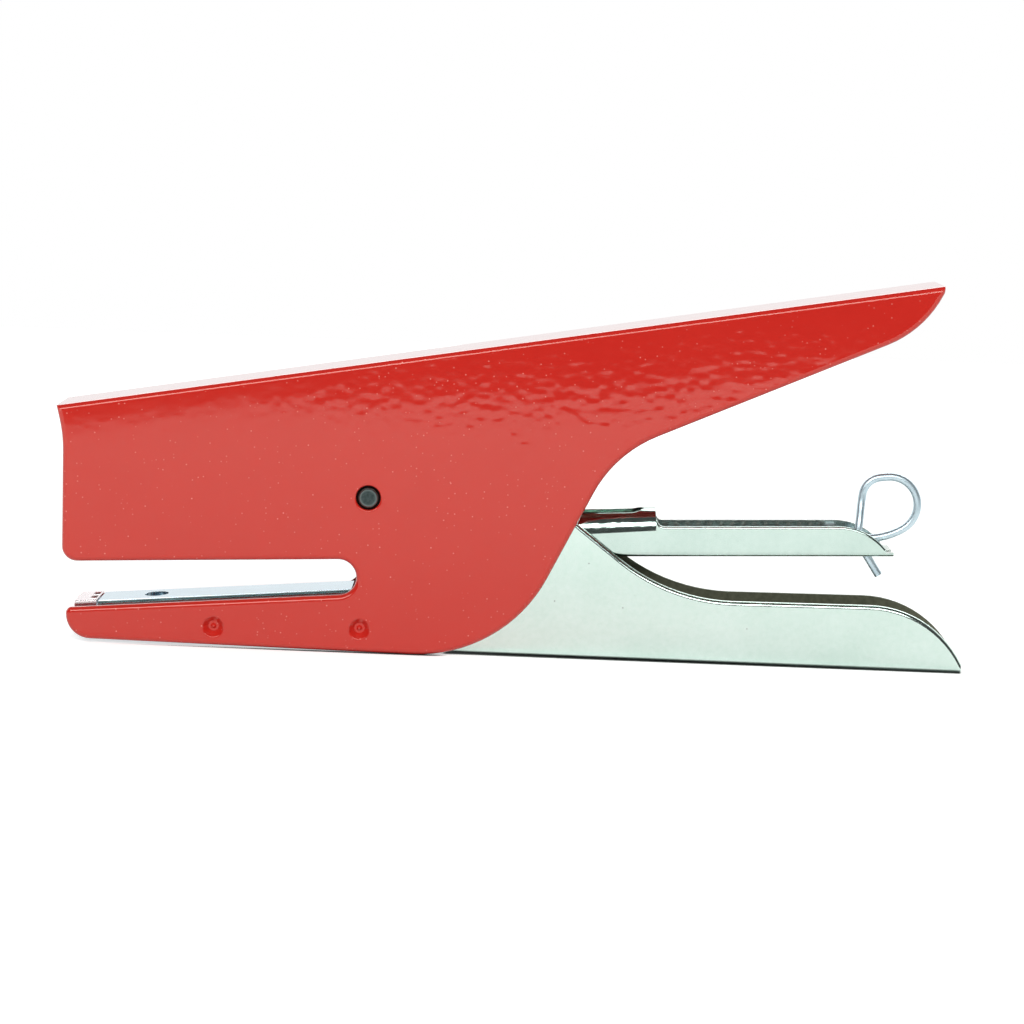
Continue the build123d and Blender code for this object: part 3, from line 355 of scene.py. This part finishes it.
# painted reflection: the pinkish tint stands in for the red body reflected in the steel
tone = add_node(
    tree,
    "Mix",
    {"Factor": tint_cloud.outputs["Fac"], "A": linear("#E6DCDD"), "B": linear("#F6ECEE")},
    data_type="RGBA",
)
gloss = add_node(tree, "MapRange", {"Value": lines.outputs["Fac"], 1: 0.3, 2: 0.7, 3: 0.14, 4: 0.26})
edge = add_node(tree, "Bevel", {"Radius": 0.0001}, samples=4)
relief = add_node(
    tree,
    "Bump",
    {"Strength": 0.15, "Distance": 0.00002, "Height": lines.outputs["Fac"], "Normal": edge.outputs[0]},
)
skin = add_node(
    tree,
    "BsdfPrincipled",
    {
        "Base Color": tone.outputs["Result"],
        "Metallic": 1.0,
        "Roughness": gloss.outputs[0],
        "Normal": relief.outputs[0],
    },
)
add_node(tree, "OutputMaterial", {"Surface": skin.outputs[0]})
coat_with(ground_steel, "clinch_plate", "driver_blade", "driver_holder")

# Springs: patented carbon steel wire and strip, drawn hard and left oiled, so they are darker
# than the plated pieces, with long drawing streaks.
spring_steel, tree = new_finish("drawn_spring_steel")
place = add_node(tree, "TexCoord").outputs["Object"]
# Drawing streaks and oil film, 0.4 mm and 2 mm
streaks = add_node(
    tree, "TexNoise", {"Vector": place, "Scale": 1000 / 0.4, "Detail": 2.0, "Roughness": 0.6}
)
oil = add_node(tree, "TexNoise", {"Vector": place, "Scale": 1000 / 2.0, "Detail": 2.0, "Roughness": 0.5})
tone = add_node(
    tree,
    "Mix",
    {"Factor": oil.outputs["Fac"], "A": linear("#6E6C66"), "B": linear("#8E8C86")},
    data_type="RGBA",
)
gloss = add_node(tree, "MapRange", {"Value": streaks.outputs["Fac"], 1: 0.3, 2: 0.7, 3: 0.25, 4: 0.45})
relief = add_node(tree, "Bump", {"Strength": 0.15, "Distance": 0.00002, "Height": streaks.outputs["Fac"]})
skin = add_node(
    tree,
    "BsdfPrincipled",
    {
        "Base Color": tone.outputs["Result"],
        "Metallic": 1.0,
        "Roughness": gloss.outputs[0],
        "Normal": relief.outputs[0],
    },
)
add_node(tree, "OutputMaterial", {"Surface": skin.outputs[0]})
coat_with(spring_steel, "return_spring", "leaf_spring", "pusher_spring")


# Wound springs: copies of the two coils that stand in for their nodes. On the stapler the long coil
# shortens against the collar as the pusher is drawn back, and the return spring's front leg follows the
# lever's arm spacer while its rear leg stays under the spine; here the long coil's copy only rides with the
# rod and the return spring's copy stays put.
def giving_copy(name, node):
    """Copy of a spring that stands for its node."""
    coil = bpy.data.objects.new(name, nodes[node].data.copy())
    bpy.context.scene.collection.objects.link(coil)
    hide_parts(node)
    return coil


long_coil = giving_copy("pusher_coil", "pusher_spring")
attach(long_coil, "rod")
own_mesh(long_coil)
leg_coil = giving_copy("return_coil", "return_spring")
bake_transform(leg_coil)

# Pusher, its rod with the finger ring, and the collar: mild steel, bent cold and zinc plated
# with a blue passivation, which gives a pale bluish, slightly cloudy metal.
zinc_plate, tree = new_finish("blue_zinc_plate")
place = add_node(tree, "TexCoord").outputs["Object"]
# Zinc crystals of 0.3 mm and a passivation cloud of 4 mm
crystals = add_node(
    tree, "TexNoise", {"Vector": place, "Scale": 1000 / 0.3, "Detail": 2.0, "Roughness": 0.6}
)
cloud = add_node(tree, "TexNoise", {"Vector": place, "Scale": 1000 / 4.0, "Detail": 2.0, "Roughness": 0.5})
tone = add_node(
    tree,
    "Mix",
    {"Factor": cloud.outputs["Fac"], "A": linear("#C4DDE8"), "B": linear("#E0F0F6")},
    data_type="RGBA",
)
gloss = add_node(tree, "MapRange", {"Value": crystals.outputs["Fac"], 1: 0.3, 2: 0.7, 3: 0.34, 4: 0.46})
relief = add_node(tree, "Bump", {"Strength": 0.12, "Distance": 0.00002, "Height": crystals.outputs["Fac"]})
skin = add_node(
    tree,
    "BsdfPrincipled",
    {
        "Base Color": tone.outputs["Result"],
        "Metallic": 1.0,
        "Roughness": gloss.outputs[0],
        "Normal": relief.outputs[0],
    },
)
add_node(tree, "OutputMaterial", {"Surface": skin.outputs[0]})
coat_with(zinc_plate, "pusher_rod", "rod_collar", "staple_pusher")

# Table: a sheet of white card with an uneven front edge, beyond which the room is dark. It is lit like
# the object and keeps its shadow; what the camera or a mirror sees of it is lifted to white.
front_edge = [
    (-1.5, -0.24, 0),
    (-0.130, -0.295, 0),
    (-0.111, -0.329, 0),
    (-0.084, -0.374, 0),
    (-0.029, -0.396, 0),
    (0.029, -0.415, 0),
    (0.057, -0.459, 0),
    (0.076, -0.489, 0),
    (1.5, -0.6, 0),
]
far_edge = [(1.5, 0.58, 0), (-1.5, 0.58, 0)]
outline = front_edge + far_edge
card = bpy.data.meshes.new("white_card")
card.from_pydata(outline, [], [tuple(range(len(outline)))])
table = bpy.data.objects.new("white_card", card)
bpy.context.scene.collection.objects.link(table)
white_card, tree = new_finish("white_card")
path = add_node(tree, "LightPath")
mirrored = add_node(
    tree,
    "Math",
    {0: path.outputs["Is Glossy Ray"], 1: path.outputs["Is Transmission Ray"]},
    operation="MAXIMUM",
)
mirrored = add_node(tree, "Math", {0: mirrored.outputs[0], 1: 0.3}, operation="MULTIPLY")
lift = add_node(
    tree,
    "Math",
    {0: path.outputs["Is Camera Ray"], 1: 0.55, 2: mirrored.outputs[0]},
    operation="MULTIPLY_ADD",
)
# Within 0.7 mm of what stands on the card the lift gives way and the card's colour goes dark grey, a
# painted contact shadow, so the line of contact stays dark
clear_of_contact_shadow = add_node(tree, "AmbientOcclusion", {"Distance": 0.0007}, samples=8)
clear_of_contact_shadow = add_node(tree, "MapRange", {"Value": clear_of_contact_shadow.outputs["AO"], 1: 0.45, 2: 0.95})
lift = add_node(tree, "Math", {0: lift.outputs[0], 1: clear_of_contact_shadow.outputs[0]}, operation="MULTIPLY")
# painted contact shadow: the card's colour darkens to grey at the line of contact
tone = add_node(
    tree,
    "Mix",
    {"Factor": clear_of_contact_shadow.outputs[0], "A": linear("#5A5E5C"), "B": linear("#E8E9E7")},
    data_type="RGBA",
)
skin = add_node(
    tree,
    "BsdfPrincipled",
    {
        "Base Color": tone.outputs["Result"],
        "Roughness": 0.9,
        "Emission Color": linear("#FFFFFF"),
        "Emission Strength": lift.outputs[0],
    },
)
add_node(tree, "OutputMaterial", {"Surface": skin.outputs[0]})
card.materials.append(white_card)

# Studio light: a wide soft box above the camera, a weaker one behind the object, and even room light.
# Behind the card stands a white backdrop of limited height; the ceiling and the front are dim.
lit_point = Vector((0, 0, 0.03))
box_light = bpy.data.lights.new("front_soft_box", "AREA")
box_light.shape = "RECTANGLE"
box_light.size = 0.9
box_light.size_y = 0.24
box_light.energy = 3.6
box_lamp = bpy.data.objects.new("front_soft_box", box_light)
box_lamp.location = (-0.05, -0.587, 0.41)
box_lamp.rotation_euler = (lit_point - box_lamp.location).to_track_quat("-Z", "Y").to_euler()
bpy.context.scene.collection.objects.link(box_lamp)
back_light = bpy.data.lights.new("back_soft_box", "AREA")
back_light.shape = "RECTANGLE"
back_light.size = 0.9
back_light.size_y = 0.3
back_light.energy = 2.4
back_lamp = bpy.data.objects.new("back_soft_box", back_light)
back_lamp.location = (0.1, 0.72, 0.5)
back_lamp.rotation_euler = (lit_point - back_lamp.location).to_track_quat("-Z", "Y").to_euler()
bpy.context.scene.collection.objects.link(back_lamp)

room = bpy.data.worlds.new("white_backdrop_room")
bpy.context.scene.world = room
room.use_nodes = True
tree = room.node_tree
tree.nodes.clear()
path = add_node(tree, "LightPath")
way = add_node(tree, "SeparateXYZ", {0: add_node(tree, "TexCoord").outputs["Generated"]})
behind = add_node(tree, "MapRange", {"Value": way.outputs["Y"], 1: 0.0, 2: 0.15})
low = add_node(tree, "MapRange", {"Value": way.outputs["Z"], 1: 0.5, 2: 0.75, 3: 1.0, 4: 0.0})
backdrop = add_node(tree, "Math", {0: behind.outputs[0], 1: low.outputs[0]}, operation="MULTIPLY")
backdrop = add_node(tree, "MapRange", {"Value": backdrop.outputs[0], 3: 0.06, 4: 1.0})
mirrored = add_node(
    tree,
    "Mix",
    {"Factor": path.outputs["Is Glossy Ray"], "A": 0.4, "B": backdrop.outputs[0]},
    data_type="FLOAT",
)
direct = add_node(
    tree,
    "Math",
    {0: path.outputs["Is Camera Ray"], 1: path.outputs["Is Transmission Ray"]},
    operation="MAXIMUM",
)
strength = add_node(
    tree,
    "Mix",
    {"Factor": direct.outputs[0], "A": mirrored.outputs["Result"], "B": 1.0},
    data_type="FLOAT",
)
sky = add_node(tree, "Background", {"Color": linear("#FFFFFF"), "Strength": strength.outputs["Result"]})
add_node(tree, "OutputWorld", {"Surface": sky.outputs[0]})

# Camera: 455 mm in front of the near plate, looking 9 degrees down, held with a slight roll.
# Distance, tilt, roll and lens give the outline and the tops that the photograph shows.
down_tilt = math.radians(9)
roll = math.radians(2.126)
eye_distance = 0.455
aim = Vector((-0.000195, -0.0069, 0.026185))
look = Vector((0, math.cos(down_tilt), -math.sin(down_tilt)))
level = Vector((1, 0, 0))
upright = level.cross(look)
right = level * math.cos(roll) + upright * math.sin(roll)
top = upright * math.cos(roll) - level * math.sin(roll)
eye = aim - look * eye_distance
lens = bpy.data.cameras.new("photo_camera")
lens.sensor_width = 36
lens.lens = 91.66
lens.clip_start = 0.01
camera = bpy.data.objects.new("photo_camera", lens)
camera.matrix_world = Matrix(
    (
        (right.x, top.x, -look.x, eye.x),
        (right.y, top.y, -look.y, eye.y),
        (right.z, top.z, -look.z, eye.z),
        (0, 0, 0, 1),
    )
)
bpy.context.scene.collection.objects.link(camera)
bpy.context.scene.camera = camera
bpy.context.scene.view_settings.view_transform = "Standard"
